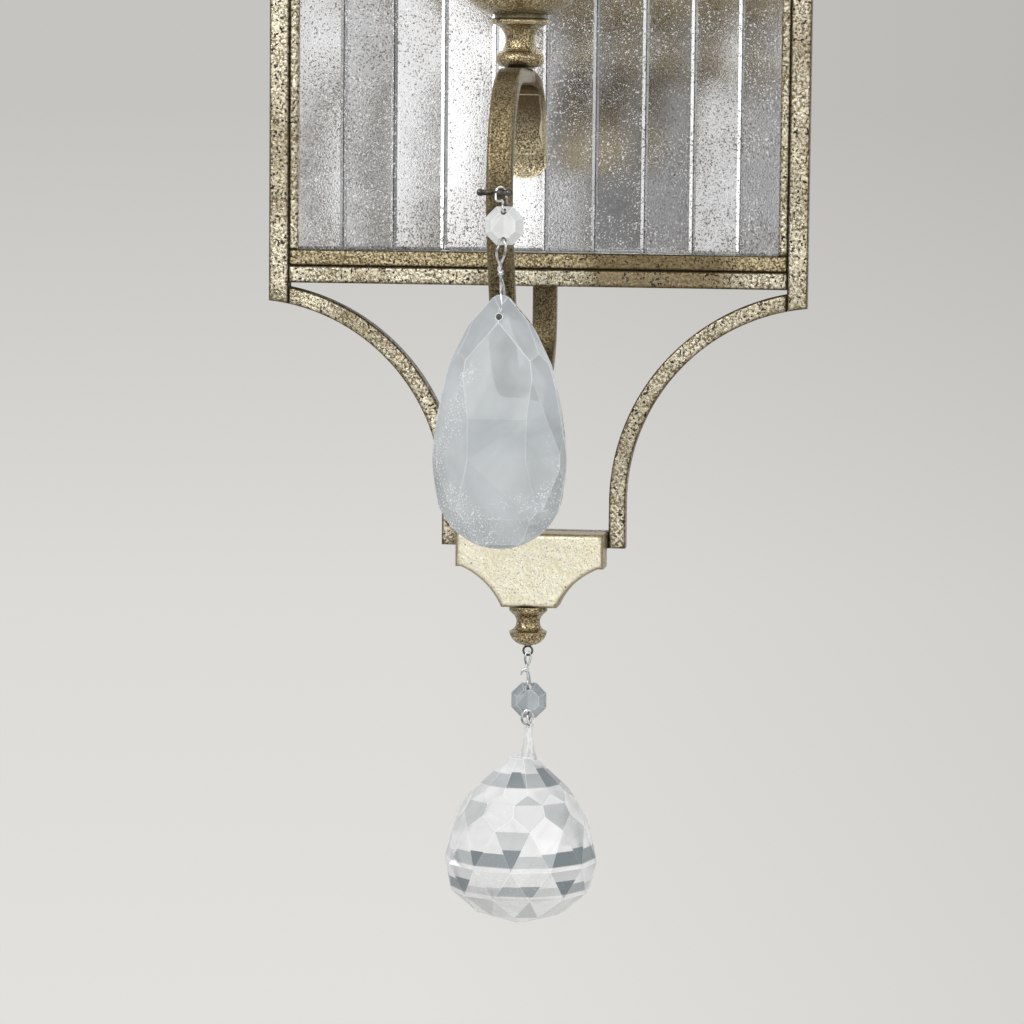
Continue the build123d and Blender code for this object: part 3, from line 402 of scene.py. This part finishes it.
def mirrorMaterial(values):
    material, tree = newMaterial("agedMirror")
    tone = {key: linear(*values[key]) for key in ("silver", "fox", "speck", "haze", "bloom")}
    share = values["shares"]
    where = tree.place()
    spot = tree.parts(where)
    pepper = tree.noise(where, values["pepperScale"], 2, 0.65)
    drift = tree.noise(where, values["driftScale"], 3, 0.6, 0.6)
    patches = tree.noise(where, values["patchScale"], 4, 0.6)
    speckled = tree.step(drift, *values["speckled"])
    limit = tree.math("MULTIPLY_ADD", speckled, values["speckSpread"], values["speckFrom"])
    specks = tree.step(tree.math("SUBTRACT", pepper, limit), *values["specks"])
    glints = tree.times(tree.step(pepper, *values["glints"]), tree.step(patches, *values["glintPatches"]))
    blooms = tree.times(tree.step(patches, *values["bloomPatches"]),
                        tree.step(pepper, *values["bloomPepper"]))
    spots = tree.times(tree.step(tree.cells(where, values["spotScale"]), *values["spots"]),
                       tree.step(tree.noise(where, values["spotGroupScale"], 1), *values["spotGroups"]))
    foxed = tree.times(tree.step(spot[2], *values["foxedAbove"]), tree.step(spot[0], *values["foxedRight"]))
    foxed = tree.math("MULTIPLY_ADD", foxed, *values["foxing"])
    edges = tree.rim(values["edgeRadius"])
    colour = tree.mix(tree.step(drift, *values["hazy"]), tone["silver"], tone["haze"])
    colour = tree.mix(tree.times(blooms, foxed), colour, tone["fox"])
    colour = tree.mix(tree.times(specks, share["specks"]), colour, tone["speck"])
    colour = tree.mix(tree.times(spots, share["spots"]), colour, tone["fox"])
    colour = tree.mix(tree.times(edges, share["edges"]), colour, tone["speck"])
    colour = tree.mix(tree.times(glints, share["glints"]), colour, tone["bloom"])
    roughness = tree.math("ADD", tree.times(patches, 0.5), tree.times(pepper, 0.5))
    roughness = tree.step(roughness, *values["rough"])
    roughness = tree.math("MULTIPLY_ADD", specks, values["speckRough"], roughness)
    metal = tree.math("SUBTRACT", 1.0, tree.times(glints, values["glintGlass"]))
    normal = tree.bump(tree.noise(where, values["rippleScale"], 2), values["rippleDepth"], 0.16)
    normal = tree.bump(pepper, values["pepperDepth"], 0.4, normal)
    tree.finish({"Base Color": colour, "Metallic": metal, "Roughness": roughness, "Normal": normal})
    return material


# frosted: the height where dust begins to gather, and where it is thickest
crystalGlasses = {
    "crystal": {
        "name": "cutAlmond", "tint": (204, 209, 212), "line": (244, 248, 250), "shade": (150, 158, 163),
        "clear": 0.42, "frost": 0.5, "ior": 1.52, "edge": 0.0006, "facets": 0.2, "bands": (),
        "frosted": (-0.168, -0.2), "dust": 1.0},
    "ballGlass": {
        "name": "cutBall", "tint": (253, 254, 255), "line": (255, 255, 255), "shade": (84, 98, 104),
        "clear": 0.58, "frost": 0.1, "ior": 1.52, "edge": 0.0005, "facets": 0.5,
        "bands": ((-0.3325, -0.3265), (-0.3435, -0.3385), (-0.3045, -0.2985)),
        "frosted": (-0.5, -0.6), "dust": 0.15},
    "paleBead": {
        "name": "paleBead", "tint": (238, 240, 238), "line": (255, 255, 255), "shade": (196, 200, 200),
        "clear": 0.3, "frost": 0.3, "ior": 1.5, "edge": 0.0003, "facets": 0.5, "bands": (),
        "frosted": (-0.5, -0.6), "dust": 0.15},
    "greyBead": {
        "name": "greyBead", "tint": (172, 179, 183), "line": (240, 244, 246), "shade": (120, 130, 136),
        "clear": 0.45, "frost": 0.3, "ior": 1.5, "edge": 0.0003, "facets": 0.8, "bands": (),
        "frosted": (-0.5, -0.6), "dust": 0.15},
}
crystalMarks = {
    "dustScale": 1500, "dustDepth": 0.00012, "dust": (0.56, 0.66), "dustPatches": (0.5, 0.62),
    "dustSettles": 0.14, "dustShare": 0.85, "rippleScale": 45, "rippleDepth": 0.0012, "veilScale": 38,
    "veil": (0.3, 0.7, 0.0, 0.3), "veilClear": (0.14, -0.1), "markedClear": (0.0, 1.0, 1.0, 0.2),
    "shadedClear": (0.3, 0.9, 1.0, 0.35), "polish": 0.02, "normalStep": 0.04,
    "facetChance": (0.62, 1.0), "bandChance": (0.1, 0.5, 0.3, 0.9), "bandEdge": 0.0004,
    "bandWave": 0.003, "bandSink": 0.002,
}


def facetShade(tree, height, values):  # each facet has its own chance of being dark
    flat = tree.add("NewGeometry").outputs["True Normal"]
    nearby = (crystalMarks["normalStep"],) * 3
    snapped = tree.add("VectorMath", {0: flat, 1: nearby}, operation="SNAP").outputs[0]
    chance = tree.add("TexWhiteNoise", {"Vector": snapped}).outputs["Value"]
    shade = tree.times(tree.step(chance, *crystalMarks["facetChance"]), values["facets"])
    for low, high in values["bands"]:  # dark reflections of the room, along a row of facets
        rise = tree.step(height, low, low + crystalMarks["bandEdge"])
        top = tree.math("MULTIPLY_ADD", chance, crystalMarks["bandWave"], high - crystalMarks["bandSink"])
        band = tree.times(rise, tree.math("LESS_THAN", height, top))
        shade = tree.most(shade, tree.times(band, tree.step(chance, *crystalMarks["bandChance"])))
    outside = tree.math("SUBTRACT", 1.0, tree.add("NewGeometry").outputs["Backfacing"])
    return tree.times(shade, outside)


def crystalMaterial(values):
    material, tree = newMaterial(values["name"])
    tone = {key: linear(*values[key]) for key in ("tint", "line", "shade")}
    where = tree.place()
    height = tree.parts(where)[2]
    ripple = tree.noise(where, crystalMarks["rippleScale"], 2)
    settled = tree.times(tree.step(height, *values["frosted"]), crystalMarks["dustSettles"])
    patches = tree.step(tree.math("ADD", ripple, settled), *crystalMarks["dustPatches"])
    dust = tree.step(tree.noise(where, crystalMarks["dustScale"], 2, 0.6), *crystalMarks["dust"])
    dust = tree.times(tree.times(dust, patches), values["dust"])
    veil = tree.noise(where, crystalMarks["veilScale"], 3, 0.5, 0.8)
    # painted highlight: thin bright lines along the facet edges
    edgeHighlight = tree.rim(values["edge"])
    shade = facetShade(tree, height, values)
    colour = tree.mix(tree.step(veil, *crystalMarks["veil"]), tone["tint"], tone["line"])
    colour = tree.mix(shade, colour, tone["shade"])
    # the painted edge highlights and the real dust both take the line tone
    highlightAndDust = tree.most(edgeHighlight, tree.times(dust, crystalMarks["dustShare"]))
    colour = tree.mix(highlightAndDust, colour, tone["line"])
    clear = tree.step(veil, 0.3, 0.7, *(values["clear"] + more for more in crystalMarks["veilClear"]))
    clear = tree.times(clear, tree.step(tree.most(edgeHighlight, dust), *crystalMarks["markedClear"]))
    clear = tree.times(clear, tree.step(shade, *crystalMarks["shadedClear"]))
    roughness = tree.math("MULTIPLY_ADD", dust, values["frost"], crystalMarks["polish"])
    normal = tree.bump(ripple, crystalMarks["rippleDepth"], 0.08)
    normal = tree.bump(dust, crystalMarks["dustDepth"], 0.6, normal)
    tree.finish({"Base Color": colour, "Roughness": roughness, "IOR": values["ior"],
                 "Transmission Weight": clear, "Normal": normal})
    return material


wireFinishes = {
    "wire": {"name": "nickelWire", "bright": (236, 238, 240), "dull": (120, 122, 124), "roughness": 0.2},
    "hook": {"name": "blackenedHook", "bright": (104, 100, 94), "dull": (34, 31, 27), "roughness": 0.3},
}
wireMarks = {"drawnScale": 1800, "drawnAlong": (1, 1, 0.15), "drawnDepth": 0.00004,
             "tarnishScale": 300, "tarnish": (0.45, 0.65), "tarnishRough": 0.2}


def wireMaterial(values):
    material, tree = newMaterial(values["name"])
    drawn = tree.noise(tree.place(wireMarks["drawnAlong"]), wireMarks["drawnScale"], 2)
    tarnish = tree.step(tree.noise(tree.place(), wireMarks["tarnishScale"], 3), *wireMarks["tarnish"])
    colour = tree.mix(tarnish, linear(*values["bright"]), linear(*values["dull"]))
    roughness = tree.math("MULTIPLY_ADD", tarnish, wireMarks["tarnishRough"], values["roughness"])
    tree.finish({"Base Color": colour, "Metallic": 1.0, "Roughness": roughness,
                 "Normal": tree.bump(drawn, wireMarks["drawnDepth"], 0.5)})
    return material


platedFinishes = {
    "sheet": {"name": "millSheet", "bright": (186, 187, 186), "dull": (150, 151, 151), "roughness": 0.42,
              "spangle": 90},
    "bracket": {"name": "zincBracket", "bright": (196, 196, 190), "dull": (150, 152, 150),
                "roughness": 0.36, "spangle": 220},
    "clamp": {"name": "zincClamp", "bright": (188, 188, 180), "dull": (140, 140, 134), "roughness": 0.4,
              "spangle": 220},
    "screws": {"name": "zincScrews", "bright": (204, 204, 200), "dull": (148, 148, 146),
               "roughness": 0.32, "spangle": 220},
    "riser": {"name": "plainBrass", "bright": (214, 184, 112), "dull": (164, 132, 74), "roughness": 0.32,
              "spangle": 220},
    "nut": {"name": "nutBrass", "bright": (210, 180, 110), "dull": (150, 122, 68), "roughness": 0.36,
            "spangle": 220},
    "lamp_cap": {"name": "lampCapBrass", "bright": (216, 196, 140), "dull": (170, 146, 92),
                 "roughness": 0.28, "spangle": 220},
    "copper": {"name": "bareCopper", "bright": (206, 134, 92), "dull": (150, 88, 56), "roughness": 0.34,
               "spangle": 220},
}
platedMarks = {"brushedScale": 1600, "brushedAlong": (0.12, 1, 1), "brushedDepth": 0.00005,
               "spangleDepth": 0.0004, "cornerShadeLevel": 0.45, "cornerShadeReach": 0.003, "cornerShadeShare": 0.6}


def platedMaterial(values):
    material, tree = newMaterial(values["name"])
    spangle = tree.noise(tree.place(), values["spangle"], 4, 0.6)
    brushed = tree.noise(tree.place(platedMarks["brushedAlong"]), platedMarks["brushedScale"], 2)
    bright, dull = linear(*values["bright"]), linear(*values["dull"])
    # painted shade: tight corners darken to a darker copy of the dull tone
    cornerShadeColour = linear(*(level * platedMarks["cornerShadeLevel"] for level in values["dull"]))
    colour = tree.mix(tree.step(spangle, 0.35, 0.65), bright, dull)
    cornerShaded = tree.times(tree.corner(platedMarks["cornerShadeReach"]), platedMarks["cornerShadeShare"])
    colour = tree.mix(cornerShaded, colour, cornerShadeColour)
    level = tree.step(spangle, 0.3, 0.7, values["roughness"] - 0.06, values["roughness"] + 0.12)
    normal = tree.bump(spangle, platedMarks["spangleDepth"], 0.12)
    normal = tree.bump(brushed, platedMarks["brushedDepth"], 0.4, normal)
    tree.finish({"Base Color": colour, "Metallic": 1.0, "Roughness": level, "Normal": normal})
    return material


paintFinishes = {
    "pan": {"name": "bronzePaint", "fresh": (118, 104, 78), "worn": (176, 160, 120), "roughness": 0.5,
            "metallic": 0.3, "grainDepth": 0.00025},
    "ground_screw": {"name": "greenScrew", "fresh": (38, 98, 52), "worn": (150, 152, 140),
                     "roughness": 0.35, "metallic": 0.5, "grainDepth": 0.00025},
}
paintMarks = {"peelScale": 900, "cloudScale": 40, "fading": (0.3, 0.7, 0.0, 0.35), "fadedTone": 0.7,
              "chipScale": 500, "chips": (0.5, 0.58), "chipRadius": 0.0005, "scuffScale": 420,
              "scuffAlong": (0.2, 1, 1), "scuffs": (0.64, 0.7), "scuffShare": 0.25}


def paintMaterial(values):
    material, tree = newMaterial(values["name"])
    where = tree.place()
    orangePeel = tree.noise(where, paintMarks["peelScale"], 2)
    cloud = tree.noise(where, paintMarks["cloudScale"], 4, 0.6)
    chips = tree.step(tree.noise(where, paintMarks["chipScale"], 3), *paintMarks["chips"])
    chips = tree.times(tree.rim(paintMarks["chipRadius"]), chips)
    scuffs = tree.noise(tree.place(paintMarks["scuffAlong"]), paintMarks["scuffScale"], 3)
    scuffs = tree.times(tree.step(scuffs, *paintMarks["scuffs"]), paintMarks["scuffShare"])
    fresh, worn = linear(*values["fresh"]), linear(*values["worn"])
    faded = linear(*(level * paintMarks["fadedTone"] for level in values["fresh"]))
    colour = tree.mix(tree.step(cloud, *paintMarks["fading"]), fresh, faded)
    colour = tree.mix(tree.most(chips, scuffs), colour, worn)
    level = tree.step(cloud, 0.3, 0.7, values["roughness"] - 0.08, values["roughness"] + 0.1)
    tree.finish({"Base Color": colour, "Metallic": values["metallic"], "Roughness": level,
                 "Normal": tree.bump(orangePeel, values["grainDepth"], 0.35)})
    return material


candleSleeve = {
    "fresh": (240, 231, 205), "aged": (222, 206, 168), "cornerShadeColour": (140, 118, 80), "glow": 0.15,
    "glowReach": (0.004, 0.003, 0.002), "waxScale": 70, "waxDepth": 0.0006, "fibreScale": 900,
    "fibreAlong": (1, 1, 0.06), "fibreDepth": 0.00008, "ageScale": 22, "ageing": (0.35, 0.7),
    "cornerShadeReach": 0.006, "cornerShadeShare": 0.5, "rough": (0.3, 0.7, 0.38, 0.56),
}


def sleeveMaterial(values):
    material, tree = newMaterial("ivorySleeve")
    where = tree.place()
    wax = tree.noise(where, values["waxScale"], 3, 0.5, 0.3)
    fibre = tree.noise(tree.place(values["fibreAlong"]), values["fibreScale"], 3)
    age = tree.step(tree.noise(where, values["ageScale"], 3), *values["ageing"])
    colour = tree.mix(age, linear(*values["fresh"]), linear(*values["aged"]))
    # painted shade: the sleeve darkens in tight corners
    cornerShaded = tree.times(tree.corner(values["cornerShadeReach"]), values["cornerShadeShare"])
    colour = tree.mix(cornerShaded, colour, linear(*values["cornerShadeColour"]))
    level = tree.step(wax, *values["rough"])
    normal = tree.bump(wax, values["waxDepth"], 0.25)
    normal = tree.bump(fibre, values["fibreDepth"], 0.4, normal)
    tree.finish({"Base Color": colour, "Roughness": level, "Subsurface Weight": values["glow"],
                 "Subsurface Radius": values["glowReach"], "Subsurface Scale": 1.0, "Normal": normal})
    return material


lampGlass = {
    "smoky": (0.97, 0.97, 0.95, 1), "bright": (0.99, 0.99, 0.98, 1), "ior": 1.47, "smokeScale": 60,
    "roughest": 0.03, "waveScale": 90, "waveDepth": 0.0006,
}


def lampGlassMaterial(values):
    material, tree = newMaterial("clearLampGlass")
    where = tree.place()
    smoke = tree.step(tree.noise(where, values["smokeScale"], 2), 0.3, 0.7)
    colour = tree.mix(smoke, values["smoky"], values["bright"])
    roughness = tree.step(smoke, 0.0, 1.0, 0.0, values["roughest"])
    normal = tree.bump(tree.noise(where, values["waveScale"], 2), values["waveDepth"], 0.08)
    tree.finish({"Base Color": colour, "Roughness": roughness, "IOR": values["ior"],
                 "Transmission Weight": 1.0, "Normal": normal})
    return material


plasticFinishes = {
    "holder": {"name": "darkHolder", "fresh": (38, 36, 34), "deep": (24, 23, 22), "roughness": 0.5},
    "lead_cover": {"name": "leadCover", "fresh": (206, 196, 170), "deep": (182, 170, 142),
                   "roughness": 0.55},
    "connector": {"name": "orangeConnector", "fresh": (206, 112, 34), "deep": (178, 88, 22),
                  "roughness": 0.4},
}
plasticMarks = {"flowScale": 120, "speckleScale": 1400, "speckleDepth": 0.00008}


def plasticMaterial(values):
    material, tree = newMaterial(values["name"])
    where = tree.place()
    flow = tree.noise(where, plasticMarks["flowScale"], 3, 0.5, 0.5)
    speckle = tree.noise(where, plasticMarks["speckleScale"], 2)
    colour = tree.mix(tree.step(flow, 0.35, 0.65), linear(*values["fresh"]), linear(*values["deep"]))
    level = tree.step(flow, 0.3, 0.7, values["roughness"] - 0.06, values["roughness"] + 0.08)
    normal = tree.bump(speckle, plasticMarks["speckleDepth"], 0.35)
    tree.finish({"Base Color": colour, "Roughness": level, "Normal": normal})
    return material


finishes = {
    "mirror": mirrorMaterial(mirrorGlass), "sleeve": sleeveMaterial(candleSleeve),
    "lamp_glass": lampGlassMaterial(lampGlass), "filament": lampGlassMaterial(lampGlass),
}
families = (
    (giltMaterial, giltFinishes), (crystalMaterial, crystalGlasses), (wireMaterial, wireFinishes),
    (platedMaterial, platedFinishes), (paintMaterial, paintFinishes), (plasticMaterial, plasticFinishes),
)
for makeMaterial, family in families:
    for finishName, finishValues in family.items():
        finishes[finishName] = makeMaterial(finishValues)
# where a node differs from the finish of its material slot
nodeFinishes = {
    "arm_tube": "giltArm", "arm_leaf": "giltLeaf", "arm_hook": "hook", "candle_neck": "giltCup",
    "candle_cup": "giltCup", "lower_plate": "giltPlate", "upper_plate": "giltPlate",
    "lower_finial": "giltFinial", "upper_finial": "giltFinial", "foot_eye": "hook",
    "ball_crystal": "ballGlass", "arm_bead": "paleBead", "foot_bead": "greyBead",
    "lower_lip": "giltDull", "upper_lip": "giltDull", "left_lip": "giltLip", "right_lip": "giltLip",
}


def dressNodes():
    for row in frame["record"]["subparts"]:
        obj = bpy.data.objects[row["node"]]
        finish = nodeFinishes.get(row["node"], row["material_slot"])
        obj.data.materials.clear()
        obj.data.materials.append(finishes[finish])


dressNodes()
print("materials set")

# bent wire: each run is a smooth curve through points (x, z, how far in front of y), in millimetres
wires = {
    "arm_link": {"body": "arm_link", "thick": 0.42, "y": -152.5, "runs": [
        [(0.4, -82.9, 1.2), (-0.1, -80.4, 0.6), (0.9, -78.3, 0), (2.6, -78.4, 0), (3.6, -80.2, 0),
         (3.9, -83.6, -1.4), (3.5, -85.6, -4.3), (3.2, -86.9, -3.6), (3.2, -87.0, -1.5),
         (3.2, -87.0, 1.5), (3.2, -86.9, 3.6), (3.1, -85.4, 4.3), (2.9, -82.6, 2.4), (1.6, -83.4, 1.9),
         (0.4, -82.9, 1.2)]]},
    "almond_wire": {"body": "almond", "thick": 0.42, "y": -152.5, "runs": [
        [(2.2, -106.2, 0), (0.6, -103.6, -1.8), (-0.3, -100.6, -4.2), (1.4, -97.6, -4.7),
         (3.0, -96.5, -4.0), (3.2, -96.4, -1.5), (3.2, -96.4, 1.5), (3.4, -96.5, 4.0),
         (4.4, -98.2, 4.6), (4.1, -101.2, 3.9), (2.6, -104.0, 1.6), (1.8, -106.6, 0.4),
         (1.0, -107.0, -0.8), (1.8, -107.8, -0.9), (2.8, -108.4, 0.4)],
        [(2.0, -105.6, 0.9), (0.9, -106.2, 0), (1.7, -107.0, -0.9), (2.8, -107.4, 0),
         (2.0, -108.0, 0.9), (1.0, -108.6, 0), (1.8, -109.2, -0.8)],
        [(1.7, -108.0, 0), (2.3, -111.0, -3.6), (2.6, -115.0, -6.0), (2.5, -119.6, -6.6),
         (2.3, -122.6, -4.2), (2.3, -123.4, 0), (2.4, -122.6, 4.2), (3.4, -119.4, 6.6),
         (3.0, -115.2, 6.0), (2.5, -111.0, 3.4), (2.2, -108.2, 0.6)]]},
    "foot_link": {"body": "foot_link", "thick": 0.4, "y": -45.0, "runs": [
        [(-1.2, -259.6, 0.6), (-2.0, -257.4, 0.4), (-1.5, -255.2, 0), (-0.5, -254.6, 0),
         (0.4, -255.6, 0), (0.2, -258.0, 0.3), (-0.8, -260.0, 0.6), (-1.0, -262.6, 0)],
        [(-3.2, -263.4, 0.6), (-2.6, -261.4, 0.7), (-1.4, -260.8, 0), (-0.5, -261.4, -0.8),
         (-1.3, -262.2, -0.8), (-2.0, -262.0, 0.4), (-1.2, -261.4, 0.9), (-0.4, -262.2, 0)],
        [(-0.9, -260.8, 0), (-0.5, -263.8, -2.4), (-0.3, -266.6, -4.2), (-0.2, -268.2, -3.7),
         (-0.2, -268.3, -1.5), (-0.2, -268.3, 1.5), (-0.2, -268.2, 3.7), (-0.2, -266.4, 4.2),
         (-0.5, -263.6, 2.4), (-0.9, -261.2, 0.4)]]},
    "ball_wire": {"body": "ball", "thick": 0.4, "y": -45.0, "runs": [
        [(-0.2, -277.7, 0), (-0.2, -277.7, 1.5), (-0.2, -277.9, 3.7), (-0.1, -279.4, 4.3),
         (0.2, -281.4, 3.4), (0.1, -282.5, 1.2), (-0.2, -282.7, 0), (-0.3, -282.5, -1.2),
         (-0.5, -281.4, -3.4), (-0.3, -279.4, -4.3), (-0.2, -277.9, -3.7), (-0.2, -277.7, -1.5),
         (-0.2, -277.7, 0)],
        [(-1.9, -281.0, 4.1), (-2.6, -279.0, 4.3), (-1.6, -276.8, 4.4), (0.2, -275.9, 4.4),
         (1.7, -277.0, 4.4), (2.0, -279.2, 4.3), (1.0, -281.2, 4.1), (-0.6, -281.8, 4.0),
         (-1.9, -281.0, 4.1)]]},
}
wireCurve = {"order": 3, "steps": 10, "roundness": 5}


def bendWire(name, values):
    pieces = []
    for run in values["runs"]:
        deselect()
        bpy.ops.curve.primitive_nurbs_path_add(location=(0, 0, 0))
        obj = bpy.context.object
        spline = obj.data.splines[0]
        spline.points.add(len(run) - len(spline.points))
        for point, (x, z, ahead) in zip(spline.points, run):
            point.co = (x / 1000, (values["y"] - ahead) / 1000, z / 1000, 1)
        spline.order_u = wireCurve["order"]
        spline.use_endpoint_u = True
        spline.resolution_u = wireCurve["steps"]
        obj.data.bevel_depth = values["thick"] / 1000
        obj.data.bevel_resolution = wireCurve["roundness"]
        obj.data.use_fill_caps = True
        bpy.ops.object.convert(target="MESH")
        pieces.append(bpy.context.object)
    deselect()
    for obj in pieces:
        obj.select_set(True)
    bpy.context.view_layer.objects.active = pieces[0]
    bpy.ops.object.join()
    obj = bpy.context.object
    obj.name = name + "Bent"
    bpy.ops.object.shade_smooth()
    obj.data.materials.clear()
    obj.data.materials.append(finishes["wire"])
    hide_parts(name)
    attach(obj, values["body"])


for wireName, wireValues in wires.items():
    bendWire(wireName, wireValues)
print("wires bent")
